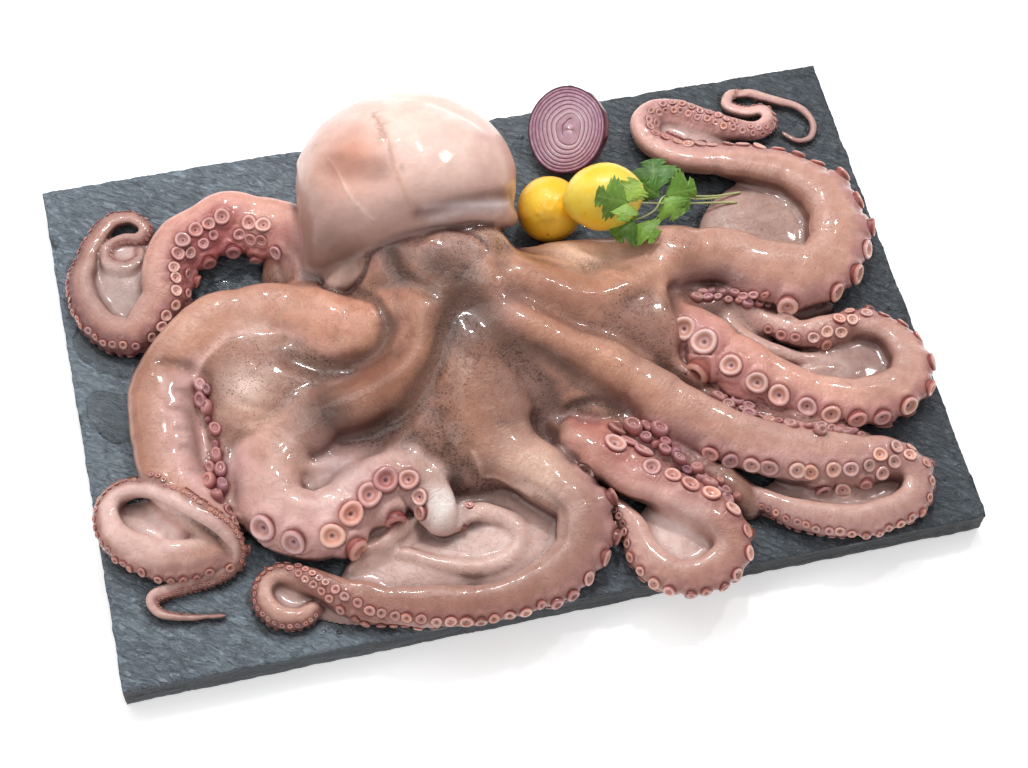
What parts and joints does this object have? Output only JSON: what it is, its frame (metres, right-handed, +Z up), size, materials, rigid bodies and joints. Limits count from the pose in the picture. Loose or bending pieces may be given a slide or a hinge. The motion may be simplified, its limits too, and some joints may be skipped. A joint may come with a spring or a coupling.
{
  "type": "whole octopus on a slate board",
  "caption": "Whole raw octopus with its mantle at the back and curled, suckered arms spread over a slate board, beside lemons and a cut red onion.",
  "frame": {"origin": "middle of the slate board's underside", "axes": "+X along the board's long side, +Y towards the back edge where the mantle lies, +Z up"},
  "size_m": [0.6003, 0.4158, 0.1295],
  "materials": {
    "slate": "rough split stone",
    "octopus_skin": "wet and smooth",
    "lemon_peel": "pored, satin",
    "red_onion": "satin"
  },
  "bodies": {
    "root": {"slate_board": "slate", "octopus": "octopus_skin", "lemon_near": "lemon_peel", "lemon_high": "lemon_peel", "onion_half": "red_onion"}
  },
  "joints": []
}
